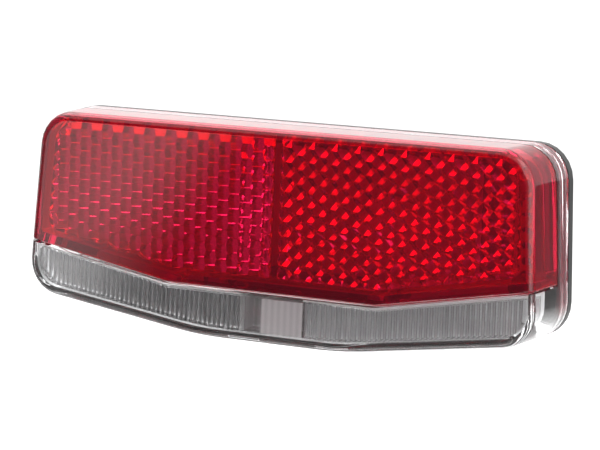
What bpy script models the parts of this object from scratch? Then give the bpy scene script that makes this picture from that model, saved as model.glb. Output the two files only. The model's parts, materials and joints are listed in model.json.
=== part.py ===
"""Bicycle rear light for the luggage carrier.

A black rear housing bolts to the carrier plate with two studs. A clear cover closes it. A red
reflector panel plugs into the cover from the front and lies flush with it, above a strip where
a ribbed light guide shows, which one lamp feeds from the middle. A dynamo feeds it through
two blades at the back; a capacitor keeps the lamp lit at a stop, unless the push button
underneath switches that off. The room behind the reflector is empty, so light gets in there.

X runs across the light, +Y points at the carrier and +Z is up. The origin is the middle of
the flat pad that bears on the carrier plate.
"""

import math

import bmesh
import bpy
from mathutils import Matrix, Vector

MM = 0.001

# Walls, and the clearance between neighbouring pieces
FIT_GAP = 0.3 * MM
COVER_WALL = 1.5 * MM
HOUSING_WALL = 2.0 * MM

# Outline of the light: the flange at the back and the face at the front
FLANGE_HALF_TOP = 51.6 * MM
SIDE_FLARE = 0.7 * MM
SIDE_TAPER_TOP = 1.8 * MM
SIDE_TAPER_BOTTOM = 0.1 * MM
FLANGE_HALF_BOTTOM = FLANGE_HALF_TOP + SIDE_FLARE
FACE_HALF_TOP = FLANGE_HALF_TOP - SIDE_TAPER_TOP
FACE_HALF_BOTTOM = FLANGE_HALF_BOTTOM - SIDE_TAPER_BOTTOM
LIGHT_TOP = 19.2 * MM
LIGHT_HEIGHT = 38.4 * MM
LEVEL_HALF = 14.6 * MM
BOTTOM_RISE = math.radians(7.8)
TOP_RADIUS = 6.4 * MM
BOTTOM_RADIUS = 6.5 * MM
BEND_RADIUS = 70.0 * MM

# Line between the red panel and the clear strip below it
STRIP_HEIGHT = 9.2 * MM
SEAM_LEVEL_HALF = 21.5 * MM
SEAM_RISE = math.radians(10.0)
SEAM_BEND_RADIUS = 9.0 * MM
SEAM_END_RADIUS = 0.3 * MM

# Cover: a clear band all round, and a clear window below the seam
COVER_DEPTH = 11.7 * MM
BAND_HEIGHT = 3.5 * MM
FACE_LEAN = math.radians(3.2)
FRONT_FILLET = 1.6 * MM
RIM_WALL = 0.7 * MM

# Reflector panel
PANEL_THICKNESS = 2.5 * MM
PANEL_WALL = 1.5 * MM
PANEL_SEAM_FILLET = 0.3 * MM
TONGUE_HEIGHT = 0.9 * MM
TONGUE_WALL = 0.8 * MM
TONGUE_ROOT = 2.0 * MM
PRISM_PITCH = 2.65 * MM
PRISM_FLOOR = 0.1 * MM
PRISM_LIFT = 0.95 * MM
FIELD_MARGIN_TOP = 0.4 * MM
FIELD_MARGIN_SIDE = 1.5 * MM
FIELD_MARGIN_BOTTOM = 1.0 * MM
FIELD_DIVIDER = 1.5 * MM
FIELD_RADIUS = 2.4 * MM

# Light guide and the tray behind it
GUIDE_THICKNESS = 2.2 * MM
RIB_PITCH = 1.0 * MM
RIB_HEIGHT = 0.7 * MM
RIB_CREST = 0.65
COLLECTOR_HALF = 6.2 * MM
COLLECTOR_DEPTH = 5.0 * MM
TRAY_THICKNESS = 1.2 * MM
TRAY_SHELF = 0.6 * MM
TRAY_POST_RADIUS = 1.6 * MM

# Rear housing
FLANGE_THICKNESS = 1.3 * MM
BASE_INSET_TOP = 2.0 * MM
BASE_INSET_SIDE = 8.0 * MM
BASE_INSET_BOTTOM = 1.2 * MM
BASE_RADIUS = 4.0 * MM
BASE_FILLET = 1.2 * MM
LIP_HEIGHT = 2.5 * MM
LIP_WALL = 1.0 * MM
SEAL_WIDTH = 0.8 * MM
SEAL_HEIGHT = 0.9 * MM
PAD_HEIGHT = 1.0 * MM
PAD_HALF_WIDTH = 11.0 * MM
PAD_HALF_HEIGHT = 9.0 * MM
PAD_RADIUS = 2.0 * MM
LUG_WIDTH = 6.0 * MM
LUG_HEIGHT = 1.0 * MM
LUG_BITE = 0.5 * MM
TOP_LUG_X = 24.0 * MM
BOTTOM_LUG_X = 9.0 * MM

# Studs, washers and nuts
STUD_SPACING = 50.0 * MM
STUD_RADIUS = 2.5 * MM
STUD_LENGTH = 14.0 * MM
STUD_TIP = 0.6 * MM
STUD_WEB = 2.0 * MM
HEAD_FLATS = 8.0 * MM
HEAD_HEIGHT = 3.5 * MM
HEAD_COVER = 1.0 * MM
BOSS_RADIUS = 7.0 * MM
WASHER_RADIUS = 5.0 * MM
WASHER_THICKNESS = 1.0 * MM
NUT_HEIGHT = 4.0 * MM

# Circuit board and what stands on it
BOARD_THICKNESS = 1.6 * MM
BOARD_FOOT = 1.1 * MM
BOARD_CORNER = 0.8 * MM
BOARD_POST_RADIUS = 2.3 * MM
SCREW_RADIUS = 1.0 * MM
SCREW_LENGTH = 6.0 * MM
SCREW_HEAD_RADIUS = 1.9 * MM
SCREW_HEAD_HEIGHT = 1.3 * MM
LAMP_RADIUS = 1.5 * MM
LAMP_RIM_RADIUS = 1.9 * MM
LAMP_RIM_HEIGHT = 1.0 * MM
LAMP_LENGTH = 6.2 * MM
LAMP_RISE = 2.6 * MM
CHIP_SIZE = (4.9 * MM, 1.5 * MM, 3.9 * MM)
CHIP_X = 8.2 * MM
CHIP_BEVEL = 0.12 * MM
CAPACITOR_RADIUS = 2.0 * MM
CAPACITOR_HEIGHT = 5.4 * MM
CAPACITOR_ROOM = 1.3 * MM
CAPACITOR_EDGE = 0.3 * MM
STORE_RADIUS = 2.5 * MM
STORE_LENGTH = 9.0 * MM
STORE_START_X = 4.6 * MM
RESISTOR_SIZE = (3.2 * MM, 0.6 * MM, 1.6 * MM)
RESISTOR_X = 6.5 * MM
BOARD_PART_GAP = 0.75 * MM
TRAY_POST_X = CHIP_X + CHIP_SIZE[0] / 2 + BOARD_PART_GAP + TRAY_POST_RADIUS
CAPACITOR_X = TRAY_POST_RADIUS + BOARD_PART_GAP + CAPACITOR_RADIUS - TRAY_POST_X
BOARD_POST_OFFSET = 3.6 * MM
BOARD_POST_X = TRAY_POST_X + BOARD_POST_OFFSET
BOARD_END = 3.4 * MM
BOARD_HALF = BOARD_POST_X + BOARD_END

# Blade terminals that take the dynamo's lead
TERMINAL_X = 7.0 * MM
TERMINAL_RISE = 1.4 * MM
TERMINAL_HALF_WIDTH = 1.4 * MM
TERMINAL_SHOULDER_HALF = 2.2 * MM
TERMINAL_SHOULDER = 1.2 * MM
TERMINAL_REACH = 5.5 * MM
TERMINAL_CORNER = 0.5 * MM
TERMINAL_HOLE = 0.6 * MM
TERMINAL_THICKNESS = 0.8 * MM

# Switch and push button
SWITCH_WIDTH = 6.0 * MM
SWITCH_DEPTH = 6.3 * MM
SWITCH_HEIGHT = 3.5 * MM
SWITCH_AXIS_DEPTH = 3.0 * MM
PLUNGER_RADIUS = 1.6 * MM
PLUNGER_EDGE = 0.2 * MM
PLUNGER_OUT = 1.2 * MM
PLUNGER_IN = 1.0 * MM
BUTTON_TRAVEL = 1.0 * MM
BUTTON_POST_RADIUS = 1.4 * MM
BUTTON_POST = 2.4 * MM
BUTTON_RADIUS = 2.5 * MM
BUTTON_FLANGE = 0.5 * MM
BUTTON_FLANGE_HEIGHT = 0.8 * MM
BUTTON_PROUD = 1.2 * MM
BUTTON_DOME = 0.5 * MM

# Fineness of the round shapes
CORNER_STEPS = 6
BEND_STEPS = 3
EDGE_STEPS = 3
FILLET_STEPS = 4
TURN_STEPS = 20
OVERLAP = 0.5 * MM
MERGE = 0.001 * MM

# Places that follow from the sizes above
TONGUE_INSET = COVER_WALL + FIT_GAP
PRISM_CORNER = PRISM_PITCH / math.sqrt(3)
PRISM_DEPTH = PRISM_PITCH * math.sqrt(2 / 3)
WALL_INNER_Y = -(PAD_HEIGHT + HOUSING_WALL)
SWITCH_BACK = WALL_INNER_Y - 2 * FIT_GAP
BUTTON_Y = SWITCH_BACK - SWITCH_AXIS_DEPTH
BOARD_BACK = SWITCH_BACK - SWITCH_DEPTH - FIT_GAP
BOARD_FRONT = BOARD_BACK - BOARD_THICKNESS
PRISM_TIP_DEPTH = FIT_GAP + CAPACITOR_HEIGHT + CAPACITOR_ROOM - BOARD_FRONT
FACE_Y = -(PRISM_TIP_DEPTH + PRISM_DEPTH + PRISM_FLOOR + PANEL_THICKNESS)
RIM_Y = FACE_Y + COVER_DEPTH
SPLIT_Y = RIM_Y - BAND_HEIGHT
FLANGE_FRONT = RIM_Y + FIT_GAP
FLANGE_BACK = FLANGE_FRONT + FLANGE_THICKNESS
BOSS_FRONT = -(STUD_WEB + HEAD_HEIGHT + FIT_GAP + HEAD_COVER)
LIGHT_BOTTOM = LIGHT_TOP - LIGHT_HEIGHT
BASE_BOTTOM = LIGHT_BOTTOM + BASE_INSET_BOTTOM
INNER_BOTTOM = BASE_BOTTOM + HOUSING_WALL
BUTTON_SEAT = INNER_BOTTOM + FIT_GAP
BUTTON_TOP = BUTTON_SEAT + BUTTON_FLANGE_HEIGHT + BUTTON_POST
PLUNGER_END = BUTTON_TOP + FIT_GAP
SWITCH_BOTTOM = PLUNGER_END + PLUNGER_OUT
SWITCH_TOP = SWITCH_BOTTOM + SWITCH_HEIGHT
SEAM_Z = LIGHT_BOTTOM + STRIP_HEIGHT
LIP_INSET = RIM_WALL + SEAL_WIDTH + 2 * FIT_GAP
INNER_FIT = COVER_WALL + FIT_GAP
BOARD_TOP = SWITCH_TOP
BOARD_BOTTOM = INNER_BOTTOM + BOARD_FOOT
BOARD_MIDDLE = (BOARD_TOP + BOARD_BOTTOM) / 2
LAMP_Z = INNER_BOTTOM + LAMP_RISE + FIT_GAP
TERMINAL_Z = INNER_BOTTOM + TERMINAL_RISE
STORE_Y = WALL_INNER_Y - 3 * FIT_GAP - STORE_RADIUS
GUIDE_BACK = INNER_FIT + GUIDE_THICKNESS
TRAY_FRONT = GUIDE_BACK + RIB_HEIGHT + FIT_GAP
TRAY_BACK = TRAY_FRONT + TRAY_THICKNESS

STANDING = Matrix.Rotation(math.radians(90), 4, "X")


# Scene set-up
for old in list(bpy.data.objects):
    bpy.data.objects.remove(old)
parts = bpy.data.collections.new("bicycle_rear_light")
cutters = bpy.data.collections.new("cutters")
bpy.context.scene.collection.children.link(parts)
bpy.context.scene.collection.children.link(cutters)


def material(name, colour, roughness, metallic=0.0, clear=0.0):
    made = bpy.data.materials.new(name)
    made.use_nodes = True
    shader = made.node_tree.nodes["Principled BSDF"]
    shader.inputs["Base Color"].default_value = (*colour, 1.0)
    shader.inputs["Roughness"].default_value = roughness
    shader.inputs["Metallic"].default_value = metallic
    shader.inputs["Transmission Weight"].default_value = clear
    made.diffuse_color = (*colour, 1.0)
    return made


BLACK_PLASTIC = material("black_plastic", (0.02, 0.02, 0.022), 0.45)
CLEAR_PLASTIC = material("clear_plastic", (0.92, 0.93, 0.94), 0.05, clear=1.0)
RED_PLASTIC = material("red_plastic", (0.75, 0.0, 0.02), 0.08, clear=0.8)
SILVER_PLASTIC = material("silver_plastic", (0.55, 0.55, 0.56), 0.3, 0.6)
RUBBER = material("rubber", (0.03, 0.03, 0.03), 0.8)
STEEL = material("steel", (0.6, 0.6, 0.62), 0.3, 1.0)
TERMINAL_METAL = material("nickel", (0.7, 0.68, 0.62), 0.25, 1.0)
FOIL_SLEEVE = material("foil_sleeve", (0.12, 0.13, 0.16), 0.35, 0.3)
BOARD_GREEN = material("board_green", (0.02, 0.16, 0.06), 0.4)
CHIP_BLACK = material("chip_black", (0.03, 0.03, 0.035), 0.5)
CERAMIC = material("ceramic", (0.35, 0.33, 0.3), 0.6)
LAMP_RED = material("lamp_lens", (0.9, 0.25, 0.22), 0.1, clear=0.6)


# Modelling helpers
def add_object(name, mesh, look=None, smooth_angle=None):
    thing = bpy.data.objects.new(name, mesh)
    if look is None:
        cutters.objects.link(thing)
        thing.hide_render = True
        thing.display_type = "WIRE"
    else:
        parts.objects.link(thing)
        mesh.materials.append(look)
    if smooth_angle is not None:
        mesh.shade_smooth()
        mesh.set_sharp_from_angle(angle=smooth_angle)
    return thing


def mesh_of(name, bm):
    bm.normal_update()
    bmesh.ops.recalc_face_normals(bm, faces=bm.faces)
    mesh = bpy.data.meshes.new(name)
    bm.to_mesh(mesh)
    bm.free()
    return mesh


def loft(name, rings, look=None, endless=False, smooth_angle=math.radians(40)):
    """Skins rings of as many points each, with a cap at both ends unless it is endless."""
    bm = bmesh.new()
    loops = [[bm.verts.new(point) for point in ring] for ring in rings]
    count = len(loops[0])
    pairs = list(zip(loops, loops[1:]))
    if endless:
        pairs.append((loops[-1], loops[0]))
    for near, far in pairs:
        for i in range(count):
            j = (i + 1) % count
            bm.faces.new((near[i], near[j], far[j], far[i]))
    if not endless:
        bm.faces.new(loops[0])
        bm.faces.new(loops[-1])
    return add_object(name, mesh_of(name, bm), look, smooth_angle)


def plate(name, outlines, thickness, matrix, look=None):
    """A flat outline in local X and Y, extruded evenly to both sides of local Z."""
    curve = bpy.data.curves.new(name, "CURVE")
    curve.dimensions = "2D"
    curve.fill_mode = "BOTH"
    curve.extrude = thickness / 2
    for outline in outlines:
        spline = curve.splines.new("POLY")
        spline.points.add(len(outline) - 1)
        spline.use_cyclic_u = True
        for point, (x, y) in zip(spline.points, outline):
            point.co = (x, y, 0.0, 1.0)
    flat = bpy.data.objects.new(name, curve)
    cutters.objects.link(flat)
    bpy.context.view_layer.update()
    evaluated = flat.evaluated_get(bpy.context.evaluated_depsgraph_get())
    bm = bmesh.new()
    bm.from_mesh(bpy.data.meshes.new_from_object(evaluated))
    bpy.data.objects.remove(flat)
    bpy.data.curves.remove(curve)
    bmesh.ops.remove_doubles(bm, verts=bm.verts, dist=MERGE)
    bm.transform(matrix)
    return add_object(name, mesh_of(name, bm), look)


def box(name, low, high, look=None, bevel=0.0):
    bm = bmesh.new()
    bmesh.ops.create_cube(bm, size=1.0)
    size = Vector(high) - Vector(low)
    middle = (Vector(high) + Vector(low)) / 2
    bm.transform(Matrix.Translation(middle) @ Matrix.Diagonal((*size, 1.0)))
    made = add_object(name, mesh_of(name, bm), look)
    if bevel:
        edge = made.modifiers.new("edges", "BEVEL")
        edge.width = bevel
        edge.segments = 2
    return made


def rod(name, start, end, radius, look=None, sides=TURN_STEPS):
    axis = Vector(end) - Vector(start)
    bm = bmesh.new()
    sizes = {"radius1": radius, "radius2": radius, "depth": axis.length}
    bmesh.ops.create_cone(bm, cap_ends=True, segments=sides, **sizes)
    turn = Vector((0, 0, 1)).rotation_difference(axis).to_matrix().to_4x4()
    bm.transform(Matrix.Translation((Vector(start) + Vector(end)) / 2) @ turn)
    return add_object(name, mesh_of(name, bm), look, math.radians(40))


def turned(name, profile, origin, direction, look=None, steps=TURN_STEPS):
    """Turns (radius, height) points, listed from the top down, about an axis through origin."""
    mesh = bpy.data.meshes.new(name)
    mesh.from_pydata([(r, 0, h) for r, h in profile], [(i, i + 1) for i in range(len(profile) - 1)], [])
    made = add_object(name, mesh, look)
    made.location = origin
    made.rotation_euler = Vector((0, 0, 1)).rotation_difference(Vector(direction)).to_euler()
    lathe = made.modifiers.new("turn", "SCREW")
    lathe.steps = steps
    lathe.render_steps = steps
    lathe.use_merge_vertices = True
    lathe.merge_threshold = MERGE
    lathe.use_smooth_shade = False
    return made


def combine(target, tool, operation):
    step = target.modifiers.new(tool.name, "BOOLEAN")
    step.object = tool
    step.operation = operation
    step.solver = "EXACT"


def add(target, *tools):
    for tool in tools:
        combine(target, tool, "UNION")


def cut(target, *tools):
    for tool in tools:
        combine(target, tool, "DIFFERENCE")


# Outlines in X and Z, listed anticlockwise as seen from the front
def meet(p, d, q, e):
    """Where the line through p along d crosses the line through q along e."""
    share = ((q - p).x * e.y - (q - p).y * e.x) / (d.x * e.y - d.y * e.x)
    return p + d * share


def inset_corners(corners, insets):
    """Moves each edge inwards by its own inset; edge i runs from corner i to the next one."""
    count = len(corners)
    lines = []
    for i, inset in enumerate(insets):
        start, end = corners[i][0], corners[(i + 1) % count][0]
        along = (end - start).normalized()
        lines.append((start + Vector((-along.y, along.x)) * inset, along))
    moved = []
    for i, (_, radius, steps) in enumerate(corners):
        before, after = lines[i - 1], lines[i]
        shrink = max(min(insets[i - 1], insets[i]), 0.0)
        smallest = min(radius, SEAM_END_RADIUS)
        moved.append((meet(*before, *after), max(radius - shrink, smallest), steps))
    return moved


def rounded(corners, edge_steps=1):
    """The outline's points: each corner an arc of its radius, each edge split into steps."""
    points = []
    count = len(corners)
    for i, (corner, radius, steps) in enumerate(corners):
        into = (corner - corners[i - 1][0]).normalized()
        away = (corners[(i + 1) % count][0] - corner).normalized()
        turn = math.atan2(into.x * away.y - into.y * away.x, into.dot(away))
        start = corner - into * (radius * math.tan(abs(turn) / 2))
        side = math.copysign(1.0, turn)
        centre = start + Vector((-into.y, into.x)) * (radius * side)
        for step in range(steps + 1):
            spoke = (start - centre).to_3d()
            spoke.rotate(Matrix.Rotation(turn * step / steps, 3, "Z"))
            points.append(centre + spoke.to_2d())
    if edge_steps == 1:
        return points
    split = []
    ends = [sum(steps + 1 for _, _, steps in corners[:i + 1]) - 1 for i in range(count)]
    for i, point in enumerate(points):
        split.append(point)
        if i in ends:
            far = points[(i + 1) % len(points)]
            split += [point.lerp(far, step / edge_steps) for step in range(1, edge_steps)]
    return split


def half_sizes(depth):
    """Half widths at the top and the bottom, at a depth behind the face."""
    share = depth / COVER_DEPTH
    top = FACE_HALF_TOP + (FLANGE_HALF_TOP - FACE_HALF_TOP) * share
    bottom = FACE_HALF_BOTTOM + (FLANGE_HALF_BOTTOM - FACE_HALF_BOTTOM) * share
    return top, bottom


def foot_z(x):
    """Height of the bottom edge's rising leg at x."""
    return LIGHT_BOTTOM + (x - LEVEL_HALF) * math.tan(BOTTOM_RISE)


def seam_end(depth):
    """Where the rising leg of the seam meets the right side."""
    top, bottom = half_sizes(depth)
    side_foot = Vector((bottom, foot_z(bottom)))
    side_top = Vector((top, LIGHT_TOP))
    leg = Vector((math.cos(SEAM_RISE), math.sin(SEAM_RISE)))
    return meet(Vector((SEAM_LEVEL_HALF, SEAM_Z)), leg, side_foot, side_top - side_foot)


def mirrored(corner):
    point, radius, steps = corner
    return Vector((-point.x, point.y)), radius, steps


def light_corners(depth):
    top, bottom = half_sizes(depth)
    top_right = (Vector((top, LIGHT_TOP)), TOP_RADIUS, CORNER_STEPS)
    foot = (Vector((bottom, foot_z(bottom))), BOTTOM_RADIUS, CORNER_STEPS)
    bend = (Vector((LEVEL_HALF, LIGHT_BOTTOM)), BEND_RADIUS, BEND_STEPS)
    return [top_right, mirrored(top_right), mirrored(foot), mirrored(bend), bend, foot]


def panel_corners(depth):
    top, _ = half_sizes(depth)
    top_right = (Vector((top, LIGHT_TOP)), TOP_RADIUS, CORNER_STEPS)
    end = (seam_end(depth), SEAM_END_RADIUS, BEND_STEPS)
    bend = (Vector((SEAM_LEVEL_HALF, SEAM_Z)), SEAM_BEND_RADIUS, BEND_STEPS)
    return [top_right, mirrored(top_right), mirrored(end), mirrored(bend), bend, end]


def strip_corners(depth):
    _, bottom = half_sizes(depth)
    end = (seam_end(depth), SEAM_END_RADIUS, BEND_STEPS)
    seam_bend = (Vector((SEAM_LEVEL_HALF, SEAM_Z)), SEAM_BEND_RADIUS, BEND_STEPS)
    foot = (Vector((bottom, foot_z(bottom))), BOTTOM_RADIUS, CORNER_STEPS)
    bend = (Vector((LEVEL_HALF, LIGHT_BOTTOM)), BEND_RADIUS, BEND_STEPS)
    right = [end, seam_bend]
    left = [mirrored(seam_bend), mirrored(end), mirrored(foot), mirrored(bend)]
    return right + left + [bend, foot]


def even_insets(inset):
    return [inset] * 6


def panel_insets(inset, seam):
    """The top and the sides share one inset; the three edges along the seam have their own."""
    return [inset, inset, seam, seam, seam, inset]


def strip_insets(seam, inset):
    return [seam, seam, seam, inset, inset, inset, inset, inset]


def rectangle(half_x, half_y, radius):
    corners = [(half_x, half_y), (-half_x, half_y), (-half_x, -half_y), (half_x, -half_y)]
    return rounded([(Vector(corner), radius, BEND_STEPS) for corner in corners])


# Rings in space
def face_y(z):
    """The face leans forward towards its foot."""
    return FACE_Y - (LIGHT_TOP - z) * math.tan(FACE_LEAN)


def leaning_ring(corners, depth):
    return [(x, face_y(z) + depth, z) for x, z in rounded(corners, EDGE_STEPS)]


def upright_ring(corners, y):
    return [(x, y, z) for x, z in rounded(corners, EDGE_STEPS)]


def cover_ring(depth, inset):
    return leaning_ring(inset_corners(light_corners(depth), even_insets(inset)), depth)


def rim_ring(y, inset):
    return upright_ring(inset_corners(light_corners(y - FACE_Y), even_insets(inset)), y)


def panel_ring(depth, inset, seam):
    return leaning_ring(inset_corners(panel_corners(depth), panel_insets(inset, seam)), depth)


def panel_rim_ring(y, inset, seam):
    return upright_ring(inset_corners(panel_corners(y - FACE_Y), panel_insets(inset, seam)), y)


def strip_ring(depth, seam, inset):
    return leaning_ring(inset_corners(strip_corners(depth), strip_insets(seam, inset)), depth)


def face_frame():
    """Local X across the face, local Y straight back from it and local Z up along it."""
    return Matrix.Translation((0, face_y(0), 0)) @ Matrix.Rotation(-FACE_LEAN, 4, "X")


def straight_back(depth):
    return depth * math.cos(FACE_LEAN)


# Clear cover: a cup with a rebate for the seal in its rim, open above the seam for the panel
def quarter_round():
    """Depths and insets of the rounded edge, from the flat face out to the wall."""
    turns = [math.pi / 2 * step / FILLET_STEPS for step in range(FILLET_STEPS + 1)]
    return [(FRONT_FILLET * (1 - math.cos(turn)), FRONT_FILLET * (1 - math.sin(turn))) for turn in turns]


def make_cover():
    outside = [cover_ring(depth, inset) for depth, inset in quarter_round()]
    outside.append(rim_ring(SPLIT_Y, 0.0))
    rebate_y = RIM_Y - SEAL_HEIGHT - FIT_GAP
    inside = [
        rim_ring(RIM_Y, RIM_WALL),
        rim_ring(rebate_y, RIM_WALL),
        rim_ring(rebate_y, COVER_WALL),
        cover_ring(COVER_WALL, COVER_WALL),
    ]
    cover = loft("front_cover", outside + [rim_ring(RIM_Y, 0.0)] + inside, CLEAR_PLASTIC)
    beyond = -COVER_WALL
    room = [panel_ring(beyond, beyond, -FIT_GAP), panel_rim_ring(SPLIT_Y, beyond, -FIT_GAP)]
    cut(cover, loft("panel_room", room))
    for name, x, z, side in lug_places():
        cut(cover, lug(name + "_recess", x, z, side, FIT_GAP))


# Snap lugs on the housing's lip bite into recesses in the cover's wall
def lug_places():
    return [
        ("lug_top_left", -TOP_LUG_X, LIGHT_TOP, 1),
        ("lug_top_right", TOP_LUG_X, LIGHT_TOP, 1),
        ("lug_bottom_left", -BOTTOM_LUG_X, LIGHT_BOTTOM, -1),
        ("lug_bottom_right", BOTTOM_LUG_X, LIGHT_BOTTOM, -1),
    ]


def lug(name, x, z, side, growth):
    """A wedge on the lip: side is 1 on the top edge and -1 on the bottom edge."""
    root = z - side * (LIP_INSET + LIP_WALL / 2)
    crest = z - side * (COVER_WALL - LUG_BITE - growth)
    front = FLANGE_FRONT - LIP_HEIGHT - growth
    back = front + LUG_HEIGHT + 2 * growth
    outline = [(root, front), (crest, (front + back) / 2), (crest, back), (root, back)]
    turn = Matrix(((0, 0, 1, x), (0, 1, 0, 0), (1, 0, 0, 0), (0, 0, 0, 1)))
    return plate(name, [outline], LUG_WIDTH + 2 * growth, turn)


# Rear housing: base, flange and lip in one skin, then what stands inside it
def base_ring(y, inset):
    corners = light_corners(FLANGE_BACK - FACE_Y)
    sides = [BASE_INSET_TOP, BASE_INSET_SIDE] + [BASE_INSET_BOTTOM] * 3 + [BASE_INSET_SIDE]
    base = [(point, BASE_RADIUS if steps == CORNER_STEPS else radius, steps)
            for point, radius, steps in inset_corners(corners, sides)]
    return upright_ring(inset_corners(base, even_insets(inset)), y)


def make_housing():
    lip_front = FLANGE_FRONT - LIP_HEIGHT
    lip_inner = LIP_INSET + LIP_WALL
    skin = [
        base_ring(-PAD_HEIGHT, BASE_FILLET),
        base_ring(-PAD_HEIGHT - BASE_FILLET * 0.3, BASE_FILLET * 0.3),
        base_ring(-PAD_HEIGHT - BASE_FILLET, 0.0),
        base_ring(FLANGE_BACK, 0.0),
        rim_ring(FLANGE_BACK, 0.0),
        rim_ring(FLANGE_FRONT, 0.0),
        rim_ring(FLANGE_FRONT, LIP_INSET),
        rim_ring(lip_front, LIP_INSET),
        rim_ring(lip_front, lip_inner),
        rim_ring(FLANGE_FRONT, lip_inner),
        base_ring(FLANGE_FRONT, HOUSING_WALL),
        base_ring(WALL_INNER_Y, HOUSING_WALL),
    ]
    housing = loft("rear_housing", skin, BLACK_PLASTIC)
    for name, x, z, side in lug_places():
        add(housing, lug(name, x, z, side, 0.0))
    add(housing, mount_pad())
    for side, x in stud_places():
        add(housing, rod("stud_boss_" + side, (x, 0, 0), (x, BOSS_FRONT, 0), BOSS_RADIUS))
    wall_root = WALL_INNER_Y + OVERLAP
    for side, x in screw_places():
        start = (x, wall_root, BOARD_MIDDLE)
        add(housing, rod("board_post_" + side, start, (x, BOARD_BACK + FIT_GAP, BOARD_MIDDLE), BOARD_POST_RADIUS))
    for side, x in stud_places():
        cut(housing, stud_solid("stud_room_" + side, x, FIT_GAP))
    for side, x in screw_places():
        end = BOARD_FRONT + SCREW_LENGTH + FIT_GAP
        cut(housing, rod("screw_room_" + side, (x, BOARD_FRONT, BOARD_MIDDLE), (x, end, BOARD_MIDDLE),
                         SCREW_RADIUS + FIT_GAP))
    room = TERMINAL_THICKNESS / 2 + FIT_GAP
    for side, x in terminal_places():
        low = (x - TERMINAL_HALF_WIDTH - FIT_GAP, WALL_INNER_Y - OVERLAP, TERMINAL_Z - room)
        high = (x + TERMINAL_HALF_WIDTH + FIT_GAP, OVERLAP, TERMINAL_Z + room)
        cut(housing, box("terminal_slot_" + side, low, high))
    low = (0, BUTTON_Y, BASE_BOTTOM - OVERLAP)
    cut(housing, rod("button_hole", low, (0, BUTTON_Y, INNER_BOTTOM + OVERLAP), BUTTON_RADIUS + FIT_GAP))


def mount_pad():
    """The flat pad between the studs, which bears on the carrier plate."""
    thickness = PAD_HEIGHT + OVERLAP
    place = Matrix.Translation((0, -thickness / 2, 0)) @ STANDING
    return plate("mount_pad", [rectangle(PAD_HALF_WIDTH, PAD_HALF_HEIGHT, PAD_RADIUS)], thickness, place)


def make_seal():
    """A rubber ring round the lip, in the rebate of the cover's rim."""
    outer, inner = RIM_WALL + FIT_GAP, RIM_WALL + FIT_GAP + SEAL_WIDTH
    near, far = RIM_Y, RIM_Y - SEAL_HEIGHT
    rings = [rim_ring(near, outer), rim_ring(far, outer), rim_ring(far, inner), rim_ring(near, inner)]
    loft("cover_seal", rings, RUBBER, endless=True)


# Reflector panel: a red cup with cube-corner prisms moulded on its back
def prism_field(name, sign):
    """Hexagonal cells, each of three square faces that meet at right angles in a tip."""
    reach = max(FACE_HALF_TOP, FACE_HALF_BOTTOM)
    columns = int(reach / (PRISM_CORNER * 1.5)) + 1
    rows = int((LIGHT_TOP - LIGHT_BOTTOM) / PRISM_PITCH) + 2
    bm = bmesh.new()
    corners = {}
    level = PRISM_DEPTH / 2
    root = straight_back(PANEL_THICKNESS) + PRISM_FLOOR
    first = FIELD_DIVIDER / 2 + PRISM_CORNER * 0.8
    highest = LIGHT_TOP + PRISM_LIFT

    def corner(x, u, height):
        key = (round((x - sign * first) * 2 / PRISM_CORNER), round((highest - u) * 2 / PRISM_PITCH))
        if key not in corners:
            corners[key] = bm.verts.new((x, root + height, u))
        return corners[key]

    for column in range(columns):
        x = sign * (first + PRISM_CORNER * 1.5 * column)
        for row in range(rows):
            u = highest - (row + 0.5 * (column % 2)) * PRISM_PITCH
            tip = corner(x, u, PRISM_DEPTH)
            rim = []
            for k in range(6):
                angle = math.radians(60 * k) + (0 if sign > 0 else math.pi)
                height = level if k % 2 == 0 else 0.0
                across, up = PRISM_CORNER * math.cos(angle), PRISM_CORNER * math.sin(angle)
                rim.append(corner(x + across, u + up, height))
            for k in (0, 2, 4):
                bm.faces.new((tip, rim[k], rim[(k + 1) % 6], rim[(k + 2) % 6]))
    back = bmesh.ops.extrude_face_region(bm, geom=bm.faces[:])
    for vert in [v for v in back["geom"] if isinstance(v, bmesh.types.BMVert)]:
        vert.co.y = root - OVERLAP
    bm.transform(face_frame())
    field = add_object(name, mesh_of(name, bm))

    side, seam = PANEL_WALL + FIELD_MARGIN_SIDE, PANEL_WALL + FIELD_MARGIN_BOTTOM
    insets = [PANEL_WALL + FIELD_MARGIN_TOP, side, seam, seam, seam, side]
    window = inset_corners(panel_corners(PANEL_THICKNESS), insets)
    middle_x = sign * FIELD_DIVIDER / 2
    shape = rounded([(point, max(radius, FIELD_RADIUS), steps) for point, radius, steps in window])
    kept = [(x, z) for x, z in shape if x * sign > FIELD_DIVIDER]
    heights = [z for x, z in shape]
    edge = sorted_round(kept + [(middle_x, min(heights)), (middle_x, max(heights))])
    depths = (PANEL_THICKNESS - 2 * OVERLAP, PANEL_THICKNESS + 2 * PRISM_DEPTH)
    bounds = loft(name + "_edge", [[(x, face_y(z) + depth, z) for x, z in edge] for depth in depths])
    combine(field, bounds, "INTERSECT")
    return field


def sorted_round(points):
    """Puts the points of a convex outline in order round their middle."""
    middle = sum((Vector(point) for point in points), Vector((0, 0))) / len(points)
    return sorted(points, key=lambda point: math.atan2(point[1] - middle.y, point[0] - middle.x))


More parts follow.
